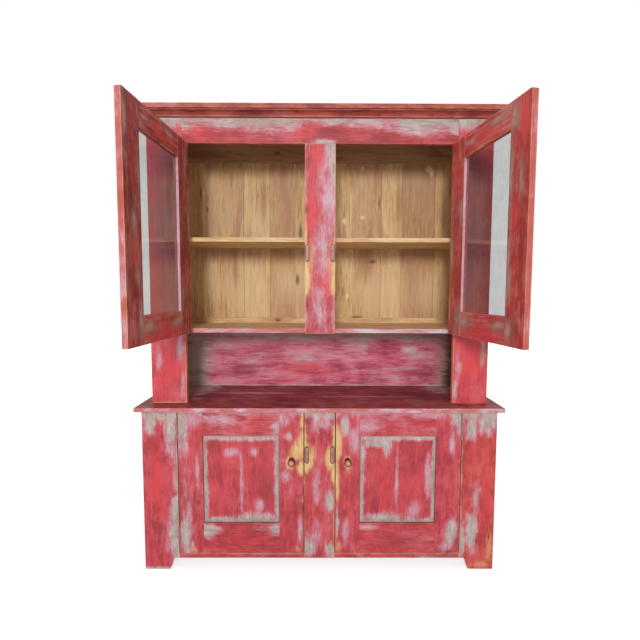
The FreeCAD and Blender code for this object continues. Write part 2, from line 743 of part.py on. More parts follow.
case_leaves = []
case_screws = []
for door in doors:
    axis = (door.axis_x, door.axis_y)
    for hinge_centre in hinge_heights(door.bottom, door.top):
        case_leaves.append(hinge_leaf(axis, door.side, hinge_centre, 0))
        case_screws.extend(hinge_screws(axis, door.side, hinge_centre))
group("case_hinge_leaves", case_leaves)
group("case_hinge_screws", case_screws)


# Turn buttons, hanging by their long arms, and the screws they turn on

button_screws = []
for level, front in (("lower", LOWER_FRONT), ("upper", UPPER_FRONT)):
    for word, side in SIDES.items():
        pivot_x = f"{side} * (centre_stile / 2 - button_pivot_inset)"
        pivot_z = f"{level}_button_height"
        back = f"({front} - button_clearance)"
        button = sub_part(f"{level}_{word}_turn_button")
        box(button, (f"{pivot_x} - button_width / 2", f"{back} - button_thickness",
                     f"{pivot_z} - button_long_arm + button_width / 2"),
            ("button_width", "button_thickness", "button_long_arm + button_short_arm - button_width"))
        for arm in ("-button_long_arm + button_width / 2", "button_short_arm - button_width / 2"):
            rod(button, (pivot_x, back, f"{pivot_z} + {arm}"), "button_width / 2", "button_thickness",
                (0, -1, 0))
        rod(button, (pivot_x, back, pivot_z), "button_screw_radius + running_play", "button_thickness",
            (0, -1, 0), cut=True)
        shank = loose_rod((pivot_x, f"{front} + button_screw_depth", pivot_z), "button_screw_radius",
                          "button_screw_depth + 2 * button_clearance + button_thickness", (0, -1, 0))
        head = loose_cone((pivot_x, f"{back} - button_thickness - button_clearance", pivot_z),
                          "button_screw_head_radius", "button_screw_radius", "button_screw_head_height",
                          (0, -1, 0))
        button_screws.append(fused([shank, head]))
group("button_screws", button_screws)

doc.recompute()
for item in doc.Objects:
    if "Invalid" in item.State or "Error" in item.State:
        raise RuntimeError(f"{item.Name} failed: {item.State}")
os.makedirs("parts", exist_ok=True)
for body in sub_parts:
    if body.Shape.isNull() or not body.Shape.isValid():
        raise RuntimeError(f"{body.Label} has no valid shape")
for body in sub_parts:
    body.Shape.exportStep(f"parts/{body.Label}.step")
print(len(sub_parts), "sub-parts")
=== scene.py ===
"""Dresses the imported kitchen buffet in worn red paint, pine, glass and iron, with camera, lamp and floor."""
import json
from math import pi, radians

import bpy
from mathutils import Matrix, Vector

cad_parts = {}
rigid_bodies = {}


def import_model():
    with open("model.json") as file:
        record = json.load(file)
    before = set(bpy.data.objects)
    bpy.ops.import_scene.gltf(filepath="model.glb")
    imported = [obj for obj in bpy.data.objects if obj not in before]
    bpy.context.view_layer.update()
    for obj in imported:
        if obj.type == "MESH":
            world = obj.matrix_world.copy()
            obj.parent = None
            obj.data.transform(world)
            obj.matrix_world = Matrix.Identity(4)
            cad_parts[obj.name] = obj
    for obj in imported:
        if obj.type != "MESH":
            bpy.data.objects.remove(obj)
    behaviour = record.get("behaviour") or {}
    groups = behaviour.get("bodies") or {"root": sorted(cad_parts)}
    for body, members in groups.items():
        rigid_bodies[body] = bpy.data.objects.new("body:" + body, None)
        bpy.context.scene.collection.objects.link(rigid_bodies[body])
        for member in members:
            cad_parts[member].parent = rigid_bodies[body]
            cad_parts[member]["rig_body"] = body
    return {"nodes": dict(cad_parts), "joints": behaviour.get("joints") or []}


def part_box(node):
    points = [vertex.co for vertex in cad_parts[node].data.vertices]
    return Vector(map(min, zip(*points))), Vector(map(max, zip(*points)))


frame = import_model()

MM = 0.001

# Camera
CAMERA_PLACE = (-0.0078, -2.2258, 1.2450)
CAMERA_YAW = -0.0044
CAMERA_PITCH = -0.072
CAMERA_ROLL = 0.0027
CAMERA_LENS = 23.59
CAMERA_SENSOR = 36.0
CAMERA_CLIP = 100.0

# Lamp and surroundings
KEY_PLACE = Vector((-0.4, -5.4, 2.4))
KEY_TARGET = Vector((0.0, 0.0, 1.1))
KEY_SIZE = 1.1
KEY_POWER = 150
AMBIENT = 0.50
FLOOR_HALF = 12.0
FLOOR_DROP = 0.5 * MM
FLOOR_GLOW = 0.68
FLOOR_NEAR = 1.2
FLOOR_FAR = 3.0
FLOOR_COLOUR = "CFCFCF"
FLOOR_SPECK = "CCCCCC"
BACKGROUND_COLOUR = "FFFFFF"

# Paint colours, and the wood and undercoat below
BARE_WOOD = "DDB878"
BARE_PALE = "E8CC98"
THIN_PAINT = "DA9A72"
UNDERCOAT = "B4A89E"
UNDERCOAT_DARK = "9A8C82"
UNDERCOAT_PALE = "CCC2BA"
WAX = "C8A8B4"
WAX_PALE = "D4C2CC"
PINK = "CC7482"
SALMON = "D8806E"
RUST = "B85A4A"
DUST = "9C7468"
DUST_PALE = "C4A498"
NICK = "4E2A26"
# Painted shadow: the dark line under the crown, around the door panels' bevels and over the niche's right end
PAINTED_SHADOW_COLOUR = "5A3830"
# Painted shade: a stile darkened where it is seen through the open door's glass
GLASS_SHADE_COLOUR = "7C4E62"
BRIGHT = "DA4448"

# The red coat of each tone: its deep, main and light colour
TONES = {
    "red": ("A0343C", "BE4249", "CE4C54"),
    "frieze": ("8C2E34", "A4363A", "B83F42"),
    "bright": ("B8404A", "D44C54", "E05A5C"),
    "scarlet": ("A63A38", "C64844", "D8544C"),
    "rust": ("7E2E2A", "A83C38", "BC4640"),
    "brick": ("86382E", "A84C40", "BC5E4C"),
    "crimson": ("6C2630", "922E38", "AC3C46"),
    # The rose tone of the niche is its mauve paint lightened as a painted lift against the shade under the
    # upper case
    "rose": ("A43E5A", "D8607A", "E67E90"),
}

# Pine colours
PINE_PALE = "E8CA9C"
PINE = "D8B27C"
PINE_DARK = "A87C50"
PINE_BLUSH = "BC8C70"
KNOT = "5C3A22"
CHIP = "F6E2B0"

# How dark and pink each board of a back is, from the left, and how far its tone moves the noises, in metres
BACK_TONES = (0.20, 0.75, 0.35, 0.90, 0.45, 0.15, 0.70, 0.30, 0.95, 0.50)
BOARD_SHIFT = Vector((3.0, 2.0, 5.0))

# Knob colours, from the rubbed face out to the rim, whose dark outer stops are painted shade on the knob's
# edge, and the painted shade behind the head
KNOB_WEAR_AND_SHADE_STOPS = ((0.45, "DDA084"), (0.72, "BE6A60"), (0.98, "8A3A34"), (1.12, "5E2622"))
KNOB_SHADE_BEHIND = "6A2824"

# Colours of the fittings
BUTTON_STOPS = ((0.35, "8E564C"), (0.5, "B88074"), (0.68, "D0A494"))
# The button's dark rim is partly dark paint in the crevice and partly painted contact shadow
BUTTON_RIM_SHADE = "4E242C"
IRON_STOPS = ((0.36, "7A4242"), (0.50, "B0625E"), (0.66, "D09490"))
IRON_WORN = "7A6A64"
STEEL_STOPS = ((0.35, "7A5A50"), (0.55, "A88C80"), (0.7, "C8B4A8"))
GLASS_STOPS = ((0.35, "C4C8C8"), (0.65, "CCCFCF"))
GLASS_CLEAR = "CCCFCF"

# Noises: how far each is drawn out along the grain, then its scale, detail, roughness and distortion
FINE_STROKES = (0.12, 420, 3, 0.6)
BRUSH_STROKES = (0.14, 130, 4, 0.6, 0.2)
BLOTS = (0.55, 26, 6, 0.62, 0.3)
HAZE = (0.45, 11, 6, 0.62, 0.4)
THREADS = (0.05, 150, 4, 0.65, 0.4)
CLOUDS = (1.0, 6, 4, 0.55)
PINE_FIBRES = (0.05, 320, 4, 0.65)
PINE_FIGURE = (0.05, 110, 5, 0.65, 0.8)
PINE_STREAKS = (0.16, 22, 4, 0.6, 0.6)
PINE_CLOUDS = (0.45, 9, 4)
BUTTON_FIBRES = (0.05, 420, 4, 0.6)

# Kinds of wear in the order they are laid, among them two kinds of painted shade: the darker oval on a stile
# seen through the glass, and the dark lines of painted shadow. Each layer: colour, depths where it starts and
# is full, strength
WEAR_LAYERS = (
    ("dull", ((GLASS_SHADE_COLOUR, -0.6, 1.0, 0.75),)),
    ("bright", ((BRIGHT, -0.6, 1.0, 0.75),)),
    ("deep", ((NICK, -0.5, 1.0, 0.35),)),
    ("dust", ((DUST, -0.9, 0.9, 0.70), (DUST_PALE, 0.1, 1.1, 0.70))),
    ("rose", ((SALMON, -0.8, 0.4, 0.70), (PINK, 0.5, 1.2, 0.80), (WAX_PALE, 0.9, 1.4, 0.80))),
    ("rim", ((RUST, -0.8, 0.4, 0.85), (PINK, 0.6, 1.4, 0.60), (WAX, 1.0, 1.7, 0.60))),
    ("lilac", ((PINK, -1.0, 0.2, 0.45), (WAX, -0.6, 1.0, 0.75))),
    ("grey", ((PINK, -1.2, 0.0, 0.35), (WAX, -0.8, 0.3, 0.60), (UNDERCOAT, -0.45, 0.65, 0.95))),
    ("pale", ((UNDERCOAT_PALE, -0.6, 0.8, 0.85),)),
    ("tan", ((THIN_PAINT, -0.5, 0.8, 0.75),)),
    ("bare", ((THIN_PAINT, -0.9, 0.2, 0.65), (BARE_WOOD, -0.45, 0.55, 0.95))),
    ("line", ((PAINTED_SHADOW_COLOUR, 0.0, 0.6, 0.70),)),
    ("nick", ((NICK, 0.0, 0.4, 0.85),)),
)

# The kinds of wear that lie lower than the paint around them and are rougher
SUNKEN = ("grey", "bare", "nick")

# The colours that vary with the brushwork
SPECKLED = {
    UNDERCOAT: ((0.34, UNDERCOAT_DARK), (0.50, UNDERCOAT), (0.66, UNDERCOAT_PALE)),
    WAX: ((0.30, PINK), (0.52, WAX), (0.70, WAX_PALE)),
    BARE_WOOD: ((0.32, THIN_PAINT), (0.46, BARE_WOOD), (0.70, BARE_PALE)),
}

# The sides of a board: which of its axes, and whether the far end. F and K are its two broad faces
SIDES = {"L": (0, 0), "R": (0, 1), "B": (1, 0), "T": (1, 1), "F": (2, 0), "K": (2, 1)}

# Corners: how far they are rubbed in patches and everywhere. The band by a free side: reach, soft width, mm
PATCHY_RUB = 0.55
EVEN_RUB = 0.40
FREE_BAND = (14, 6)

# A face left unpainted: the band that holds it, in mm
RAW_BAND = (1.0, 0.5)

# Rounding of the boards' worn edges
EDGE_ROUND = 1.2 * MM
BACK_ROUND = 0.8 * MM
BUTTON_ROUND = 0.5 * MM
SHARP_ANGLE = radians(40)
WELD_GAP = 0.01 * MM

# Depths of the bumps
PAINT_BUMP = 0.35 * MM
PINE_BUMP = 0.3 * MM
KNOB_BUMP = 0.2 * MM
IRON_BUMP = 0.15 * MM
STEEL_BUMP = 0.1 * MM
GLASS_BUMP = 0.6 * MM


def note_size():
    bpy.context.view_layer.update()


def linear(code):
    """A colour written as six letters, as the linear values that a shader takes."""
    parts = [int(code[i:i + 2], 16) / 255 for i in (0, 2, 4)]
    return (*[p / 12.92 if p <= 0.04045 else ((p + 0.055) / 1.055) ** 2.4 for p in parts], 1.0)


class Sheet:
    """The node sheet of one material. Each call adds a node and returns its output."""

    def __init__(self, name):
        self.material = bpy.data.materials.new(name)
        self.material.use_nodes = True
        self.nodes = self.material.node_tree.nodes
        self.links = self.material.node_tree.links
        self.nodes.clear()

    def feed(self, socket, value):
        if isinstance(value, bpy.types.NodeSocket):
            self.links.new(value, socket)
        elif isinstance(value, str):
            socket.default_value = linear(value)
        else:
            socket.default_value = value

    def maths(self, operation, *values):
        node = self.nodes.new("ShaderNodeMath")
        node.operation = operation
        for socket, value in zip(node.inputs, values):
            self.feed(socket, value)
        return node.outputs[0]

    def vector(self, operation, *values):
        node = self.nodes.new("ShaderNodeVectorMath")
        node.operation = operation
        for socket, value in zip(node.inputs, values):
            self.feed(socket, value)
        return node.outputs[1 if operation in ("LENGTH", "DOT_PRODUCT") else 0]

    def axis(self, place, number):
        node = self.nodes.new("ShaderNodeSeparateXYZ")
        self.feed(node.inputs[0], place)
        return node.outputs[number]

    def place(self, turn=Matrix.Identity(4)):
        """The point on the object at rest, in metres, turned to where the piece is when shut."""
        coordinates = self.nodes.new("ShaderNodeTexCoord")
        mapping = self.nodes.new("ShaderNodeMapping")
        mapping.inputs["Location"].default_value = turn.translation
        mapping.inputs["Rotation"].default_value = turn.to_euler()
        self.feed(mapping.inputs["Vector"], coordinates.outputs["Object"])
        return mapping.outputs[0]

    def noise(self, place, scale, detail=3.0, roughness=0.55, distortion=0.0):
        node = self.nodes.new("ShaderNodeTexNoise")
        self.feed(node.inputs["Vector"], place)
        self.feed(node.inputs["Scale"], scale)
        self.feed(node.inputs["Detail"], detail)
        self.feed(node.inputs["Roughness"], roughness)
        self.feed(node.inputs["Distortion"], distortion)
        return node.outputs[0]

    def strokes(self, place, grain, pattern, long=1.0):
        """A noise drawn out along the grain, further still where long is below 1."""
        stretch, *noise = pattern
        scale = Vector([stretch * long if axis == grain else 1.0 for axis in ("across", "deep", "up")])
        return self.noise(self.vector("MULTIPLY", place, scale), *noise)

    def smooth(self, value, low, high):
        """0 below low, 1 above high and a soft step between."""
        node = self.nodes.new("ShaderNodeMapRange")
        node.interpolation_type = "SMOOTHSTEP"
        self.feed(node.inputs["Value"], value)
        self.feed(node.inputs["From Min"], low)
        self.feed(node.inputs["From Max"], high)
        return node.outputs[0]

    def blend(self, share, under, over):
        node = self.nodes.new("ShaderNodeMix")
        node.data_type = "RGBA"
        self.feed(node.inputs[0], share)
        self.feed(node.inputs[6], under)
        self.feed(node.inputs[7], over)
        return node.outputs[2]

    def tint(self, share, strength, under, over):
        """The over colour at the given strength wherever the share is full."""
        return self.blend(self.maths("MULTIPLY", share, strength), under, over)

    def colours(self, value, *stops, steps=False):
        """A colour ramp over (position, colour) stops."""
        node = self.nodes.new("ShaderNodeValToRGB")
        ramp = node.color_ramp
        ramp.interpolation = "CONSTANT" if steps else "LINEAR"
        for number, (position, code) in enumerate(stops):
            stop = ramp.elements[number] if number < 2 else ramp.elements.new(position)
            stop.position = position
            stop.color = linear(code)
        self.feed(node.inputs[0], value)
        return node.outputs[0]

    def arris(self, reach):
        """How near a sharp edge of the piece is: 0 on a flat face, up to about 0.3 on an edge."""
        bevel = self.nodes.new("ShaderNodeBevel")
        bevel.samples = 6
        bevel.inputs["Radius"].default_value = reach
        geometry = self.nodes.new("ShaderNodeNewGeometry")
        same = self.vector("DOT_PRODUCT", bevel.outputs[0], geometry.outputs["Normal"])
        return self.maths("SUBTRACT", 1.0, same)

    def bump(self, height, depth, strength=1.0):
        node = self.nodes.new("ShaderNodeBump")
        self.feed(node.inputs["Height"], height)
        node.inputs["Distance"].default_value = depth
        node.inputs["Strength"].default_value = strength
        return node.outputs[0]

    def finish(self, colour, roughness, normal, specular=0.35):
        shader = self.nodes.new("ShaderNodeBsdfPrincipled")
        self.feed(shader.inputs["Base Color"], colour)
        self.feed(shader.inputs["Roughness"], roughness)
        self.feed(shader.inputs["Normal"], normal)
        shader.inputs["Specular IOR Level"].default_value = specular
        output = self.nodes.new("ShaderNodeOutputMaterial")
        self.links.new(shader.outputs[0], output.inputs["Surface"])
        return shader


def shut_turn(node):
    """Turns a piece of a door that stands open back to where it shuts. Other pieces stay."""
    body = frame["nodes"][node]["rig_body"]
    for joint in frame["joints"]:
        if joint["child"] == body and not joint.get("continuous"):
            hinge = Vector(joint["pos_m"])
            angle = radians(joint["range_deg"][0])
            turn = Matrix.Rotation(angle, 4, Vector(joint["axis"]))
            return Matrix.Translation(hinge) @ turn @ Matrix.Translation(-hinge)
    return Matrix.Identity(4)


def shut_box(node):
    """Lowest and highest corner of a piece where it shuts."""
    turn = shut_turn(node)
    points = [turn @ vertex.co for vertex in frame["nodes"][node].data.vertices]
    low = Vector([min(p[i] for p in points) for i in range(3)])
    high = Vector([max(p[i] for p in points) for i in range(3)])
    return low, high


def face_axes(low, high):
    """The axes of a board: the two of its broad face, across or deep first, then the one through it."""
    size = high - low
    thin = min(range(3), key=lambda i: size[i])
    return [i for i in range(3) if i != thin] + [thin]


def spread(sheet, noises, middle=0.0, **weights):
    """The named noises added up about a middle value, each with its own weight."""
    total = middle - 0.5 * sum(weights.values())
    for name, weight in weights.items():
        total = sheet.maths("MULTIPLY_ADD", noises[name], weight, total)
    return total


def mark_field(sheet, place, box, mark):
    """1 at the middle of an oval mark, 0 on its rim and less outside.

    A mark is its middle's share of the way across and up the face, then half its width and height in mm.
    """
    low, high = box
    across_share, up_share, half_width, half_height = mark
    scale, shift = Vector(), Vector()
    for axis, share, half in zip(face_axes(low, high), (across_share, up_share), (half_width, half_height)):
        centre = low[axis] + share * (high[axis] - low[axis])
        scale[axis] = 1 / (half * MM)
        shift[axis] = -centre * scale[axis]
    length = sheet.vector("LENGTH", sheet.vector("MULTIPLY_ADD", place, scale, shift))
    return sheet.maths("SUBTRACT", 1.0, length)


def edge_field(sheet, place, box, edge):
    """Above 0 within reach of the named sides of the board, rising over the soft width. Both are in mm."""
    low, high = box
    sides, reach, soft = edge
    field = None
    for side in sides:
        which, far = SIDES[side]
        axis = face_axes(low, high)[which]
        here = sheet.axis(place, axis)
        gap = sheet.maths("SUBTRACT", high[axis], here) if far else sheet.maths("SUBTRACT", here, low[axis])
        near = sheet.maths("MULTIPLY_ADD", gap, -1 / (soft * MM), reach / soft)
        field = near if field is None else sheet.maths("MAXIMUM", field, near)
    return sheet.maths("MINIMUM", field, 1.0)


def wear_field(sheet, place, box, ragged, marks, edges=()):
    """How deep one kind of wear or painted shade goes: above 0 inside its marks and edges, with a brushed
    outline.
    """
    fields = [mark_field(sheet, place, box, mark) for mark in marks]
    fields += [edge_field(sheet, place, box, edge) for edge in edges]
    if not fields:
        return None
    field = fields[0]
    for other in fields[1:]:
        field = sheet.maths("MAXIMUM", field, other)
    return sheet.maths("ADD", field, ragged)


def brushwork(sheet, place, grain, long):
    """The noises that the paint and its wear are made from."""
    noises = {
        "fine": sheet.strokes(place, grain, FINE_STROKES),
        "brush": sheet.strokes(place, grain, BRUSH_STROKES),
        "blot": sheet.strokes(place, grain, BLOTS, long),
        "haze": sheet.strokes(place, grain, HAZE, long),
        "thread": sheet.strokes(place, grain, THREADS),
        "cloud": sheet.strokes(place, grain, CLOUDS),
    }
    noises["speckle"] = spread(sheet, noises, 0.5, blot=0.6, brush=0.5, fine=0.5)
    return noises


def fresh_paint(sheet, noises, tone, wax, threads):
    """The red coat, with a veil of wax over it and dark and pale threads along the grain."""
    deep, main, light = TONES[tone]
    shade = spread(sheet, noises, 0.5, blot=0.7, brush=0.4, fine=0.3, cloud=0.6)
    colour = sheet.colours(shade, (0.34, deep), (0.48, main), (0.62, light))
    haze = spread(sheet, noises, 0.5, haze=1.0, brush=0.35, fine=0.2)
    veil = sheet.smooth(haze, 0.58 - 0.18 * wax, 0.94 - 0.20 * wax)
    film = sheet.colours(noises["blot"], (0.42, PINK), (0.62, WAX))
    colour = sheet.tint(veil, 0.8, colour, film)
    thread = spread(sheet, noises, 0.5, thread=1.0, blot=0.5, cloud=0.4)
    colour = sheet.tint(sheet.smooth(thread, 0.50, 0.34), 0.35, colour, deep)
    pale, strength = threads
    return sheet.tint(sheet.smooth(thread, 0.50, 0.66), strength, colour, pale)


def wear_down(sheet, place, box, noises, surface, marks, edges):
    """Lays each kind of wear, and of painted shade, over the surface, which is its colour, roughness and
    height.
    """
    colour, rough, height = surface
    ragged = spread(sheet, noises, cloud=1.4, blot=2.4, brush=0.8, fine=0.5)
    for kind, layers in WEAR_LAYERS:
        depth = wear_field(sheet, place, box, ragged, marks.get(kind, ()), edges.get(kind, ()))
        if depth is None:
            continue
        for code, low, high, strength in layers:
            mask = sheet.maths("MULTIPLY", sheet.smooth(depth, low, high), strength)
            over = sheet.colours(noises["speckle"], *SPECKLED[code]) if code in SPECKLED else code
            colour = sheet.blend(mask, colour, over)
        if kind in SUNKEN:
            height = sheet.maths("MULTIPLY_ADD", mask, -0.4, height)
            rough = sheet.maths("MULTIPLY_ADD", mask, 0.15, rough)
    return colour, rough, height


def rub_corners(sheet, place, box, noises, colour, rub, free):
    """Rubs the paint off the corners in patches, over a width of rub mm."""
    near = sheet.smooth(sheet.arris(rub * MM), 0.01, 0.16)
    if free:
        band = edge_field(sheet, place, box, (free, *FREE_BAND))
        near = sheet.maths("MULTIPLY", near, sheet.smooth(band, 0.0, 1.0))
    patchy = sheet.smooth(spread(sheet, noises, 0.5, blot=0.8, brush=0.5), 0.40, 0.58)
    worn = sheet.maths("MULTIPLY", near, sheet.maths("MULTIPLY_ADD", patchy, PATCHY_RUB, EVEN_RUB))
    wood = sheet.colours(noises["cloud"], (0.42, THIN_PAINT), (0.58, BARE_WOOD))
    return sheet.blend(worn, colour, wood)


def bare_face(sheet, place, box, noises, colour, raw, raw_above):
    """Leaves the named broad face as bare pine, above the given height."""
    face = sheet.smooth(edge_field(sheet, place, box, (raw, *RAW_BAND)), 0.0, 1.0)
    above = sheet.smooth(sheet.axis(place, 2), raw_above, raw_above + MM)
    wood = sheet.colours(noises["speckle"], (0.36, PINE_DARK), (0.50, PINE), (0.66, PINE_PALE))
    return sheet.tint(face, above, colour, wood)


def painted(node, grain="up", tone="red", wax=0.5, threads=(PINK, 0.25), marks=None, edges=None,
            rub=3.5, free=None, raw=None, raw_above=0.0, long=1.0, seed=0.0):
    """Red paint brushed over a grey undercoat on pine, waxed, and worn, with painted shade and painted
    highlights where the marks and edges say.

    free names the sides whose corners are rubbed, all if none is named. raw names a face never painted.
    long below 1 draws the blots and the haze out along the grain.
    """
    sheet = Sheet("paint_" + node)
    box = shut_box(node)
    place = sheet.place(shut_turn(node))
    moved = sheet.vector("ADD", place, Vector((seed, seed * 0.7, seed * 1.3)))
    noises = brushwork(sheet, moved, grain, long)
    colour = fresh_paint(sheet, noises, tone, wax, threads)
    rough = sheet.maths("MULTIPLY_ADD", noises["brush"], 0.25, 0.42)
    height = sheet.maths("MULTIPLY_ADD", noises["fine"], 0.4, sheet.maths("MULTIPLY", noises["brush"], 0.4))
    surface = (colour, rough, height)
    colour, rough, height = wear_down(sheet, place, box, noises, surface, marks or {}, edges or {})
    colour = rub_corners(sheet, place, box, noises, colour, rub, free)
    if raw:
        colour = bare_face(sheet, place, box, noises, colour, raw, raw_above)
    sheet.finish(colour, rough, sheet.bump(height, PAINT_BUMP, 0.8))
    return sheet.material


def board_tones(sheet, place, box, starts):
    """A grey value for each board of a boarded back, stepping at each board's left edge."""
    width = box[1].x - box[0].x
    across = sheet.maths("DIVIDE", sheet.maths("SUBTRACT", sheet.axis(place, 0), box[0].x), width)
    shares = [(start - box[0].x) / width for start in starts]
    greys = [f"{int(255 * tone):02X}" * 3 for tone in BACK_TONES]
    return sheet.colours(across, *zip(shares, greys), steps=True)


def spots(sheet, place, box, noises, colour, kinds):
    """Lays knots, stains, pale patches and chips over the pine."""
    ragged = spread(sheet, noises, streak=1.4, figure=1.0, fine=0.6)
    for marks, code, strength in kinds:
        depth = wear_field(sheet, place, box, ragged, marks)
        if depth is not None:
            colour = sheet.tint(sheet.smooth(depth, -0.2, 0.9), strength, colour, code)
    return colour


def front_lip(sheet, place, box, noises, colour, lip):
    """Paints the front edge of a board, at the given strength."""
    front = sheet.smooth(sheet.axis(place, 1), box[0].y + 0.8 * MM, box[0].y + 2.5 * MM)
    coat = sheet.colours(noises["streak"], (0.36, TONES["red"][1]), (0.48, PINK), (0.60, WAX_PALE))
    return sheet.blend(sheet.maths("MULTIPLY_ADD", front, -lip, lip), colour, coat)


def pine(node, grain="up", starts=None, knots=(), stains=(), pale=(), chips=(), dark=0.0, lip=0.0,
         seed=0.0):
    """Bare honey pine: long grain, pinkish streaks, knots, and a tone of its own for each board."""
    sheet = Sheet("pine_" + node)
    box = shut_box(node)
    place = sheet.place()
    moved = sheet.vector("ADD", place, Vector((seed, seed, seed)))
    if starts:
        board = board_tones(sheet, place, box, starts)
        moved = sheet.vector("MULTIPLY_ADD", board, BOARD_SHIFT, moved)
    noises = {
        "fine": sheet.strokes(moved, grain, PINE_FIBRES),
        "figure": sheet.strokes(moved, grain, PINE_FIGURE),
        "streak": sheet.strokes(moved, grain, PINE_STREAKS),
        "cloud": sheet.strokes(moved, grain, PINE_CLOUDS),
    }
    shade = spread(sheet, noises, 0.5, fine=0.8, figure=0.8, cloud=0.6)
    colour = sheet.colours(shade, (0.22, PINE_DARK), (0.43, PINE), (0.60, PINE_PALE))
    blush = sheet.smooth(spread(sheet, noises, 0.5, streak=1.2, cloud=0.8, fine=0.3), 0.46, 0.74)
    colour = sheet.tint(blush, 0.85, colour, PINE_BLUSH)
    if starts:
        board_colour = sheet.colours(noises["fine"], (0.35, PINE_DARK), (0.65, PINE_BLUSH))
        colour = sheet.tint(board, 0.75, colour, board_colour)
    kinds = ((pale, PINE_PALE, 0.6), (stains, PINE_DARK, 0.7), (knots, KNOT, 0.75), (chips, CHIP, 0.9))
    colour = spots(sheet, place, box, noises, colour, kinds)
    # Blends the wood towards knot brown by the dark share; on the back rail this is partly its own darker wood
    # and partly painted shade
    colour = sheet.blend(dark, colour, KNOT)
    if lip:
        colour = front_lip(sheet, place, box, noises, colour, lip)
    rough = sheet.maths("MULTIPLY_ADD", noises["figure"], 0.2, 0.5)
    height = sheet.maths("MULTIPLY_ADD", noises["fine"], 0.5, sheet.maths("MULTIPLY", noises["figure"], 0.5))
    sheet.finish(colour, rough, sheet.bump(height, PINE_BUMP, 0.7), 0.25)
    return sheet.material


def knob_paint(node):
    """Worn red paint on a turned knob: rubbed to salmon on the face, with painted shade darkening its rim and
    the ring behind the head.
    """
    sheet = Sheet("paint_" + node)
    low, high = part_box(node)
    depth = high.y - low.y
    place = sheet.place()
    centre = (low + high) / 2
    flat = sheet.vector("MULTIPLY", sheet.vector("SUBTRACT", place, centre), Vector((1, 0, 1)))
    out = sheet.maths("DIVIDE", sheet.vector("LENGTH", flat), (high.x - low.x) / 2)
    grain = sheet.noise(place, 160, 4, 0.6)
    colour = sheet.colours(sheet.maths("MULTIPLY_ADD", grain, 0.3, out), *KNOB_WEAR_AND_SHADE_STOPS)
    behind = sheet.smooth(sheet.axis(place, 1), low.y + 0.35 * depth, low.y + 0.6 * depth)
    # Painted shade behind the knob's head
    colour = sheet.blend(behind, colour, KNOB_SHADE_BEHIND)
    rough = sheet.maths("MULTIPLY_ADD", grain, 0.2, 0.35)
    sheet.finish(colour, rough, sheet.bump(grain, KNOB_BUMP, 0.5))
    return sheet.material


def button_wood(node):
    """A turn button of bare, pinkish wood with a dark rim, partly dark paint in the crevice and partly painted
    contact shadow.
    """
    sheet = Sheet("wood_" + node)
    grain = sheet.strokes(sheet.place(), "up", BUTTON_FIBRES)
    colour = sheet.colours(grain, *BUTTON_STOPS)
    # Dark rim: dark paint in the crevice and painted contact shadow
    rim = sheet.smooth(sheet.arris(9.0 * MM), 0.01, 0.09)
    colour = sheet.tint(rim, 0.95, colour, BUTTON_RIM_SHADE)
    rough = sheet.maths("MULTIPLY_ADD", grain, 0.25, 0.4)
    sheet.finish(colour, rough, sheet.bump(grain, KNOB_BUMP, 0.6))
    return sheet.material


def hinge_iron(node):
    """Iron hinges painted over with the case, worn to dark metal on the edges."""
    sheet = Sheet("iron_" + node)
    grain = sheet.noise(sheet.place(), 260, 4, 0.65)
    colour = sheet.colours(grain, *IRON_STOPS)
    rubbed = sheet.maths("ADD", sheet.arris(1.5 * MM), sheet.maths("MULTIPLY_ADD", grain, 0.6, -0.3))
    colour = sheet.tint(sheet.smooth(rubbed, 0.05, 0.25), 0.6, colour, IRON_WORN)
    rough = sheet.maths("MULTIPLY_ADD", grain, 0.3, 0.3)
    sheet.finish(colour, rough, sheet.bump(grain, IRON_BUMP, 0.6), 0.5)
    return sheet.material


def screw_steel(node):
    """Dull steel with a brown bloom."""
    sheet = Sheet("steel_" + node)
    grain = sheet.noise(sheet.place(), 500, 4, 0.65)
    rough = sheet.maths("MULTIPLY_ADD", grain, 0.35, 0.25)
    colour = sheet.colours(grain, *STEEL_STOPS)
    shader = sheet.finish(colour, rough, sheet.bump(grain, STEEL_BUMP, 0.5), 0.5)
    shader.inputs["Metallic"].default_value = 0.6
    return sheet.material


def window_glass(node):
    """Old clear window glass, a little grey, with a faint film and waves. Lamplight passes through it."""
    sheet = Sheet("glass_" + node)
    place = sheet.place()
    wave = sheet.noise(place, 6, 2)
    film = sheet.noise(place, 24, 4, 0.65)
    rough = sheet.maths("MULTIPLY_ADD", film, 0.03, 0.0)
    colour = sheet.colours(film, *GLASS_STOPS)
    shader = sheet.finish(colour, rough, sheet.bump(wave, GLASS_BUMP, 0.25), 0.5)
    shader.inputs["Transmission Weight"].default_value = 1.0
    shader.inputs["IOR"].default_value = 1.47
    clear = sheet.nodes.new("ShaderNodeBsdfTransparent")
    clear.inputs[0].default_value = linear(GLASS_CLEAR)
    path = sheet.nodes.new("ShaderNodeLightPath")
    choice = sheet.nodes.new("ShaderNodeMixShader")
    sheet.links.new(path.outputs["Is Shadow Ray"], choice.inputs[0])
    sheet.links.new(shader.outputs[0], choice.inputs[1])
    sheet.links.new(clear.outputs[0], choice.inputs[2])
    output = next(n for n in sheet.nodes if n.type == "OUTPUT_MATERIAL")
    sheet.links.new(choice.outputs[0], output.inputs["Surface"])
    return sheet.material


def dress(node, material, rounding=EDGE_ROUND):
    """Gives a CAD node its material, and rounds its sharp edges a little."""
    piece = frame["nodes"][node]
    piece.data.materials.clear()
    piece.data.materials.append(material)
    if rounding:
        weld = piece.modifiers.new("weld", "WELD")
        weld.merge_threshold = WELD_GAP
        bevel = piece.modifiers.new("worn edges", "BEVEL")
        bevel.width = rounding
        bevel.segments = 2
        bevel.limit_method = "ANGLE"
        bevel.angle_limit = SHARP_ANGLE
        bevel.loop_slide = False


def paint(node, rounding=EDGE_ROUND, **look):
    """Dresses a node in worn paint of its own."""
    dress(node, painted(node, **look), rounding)


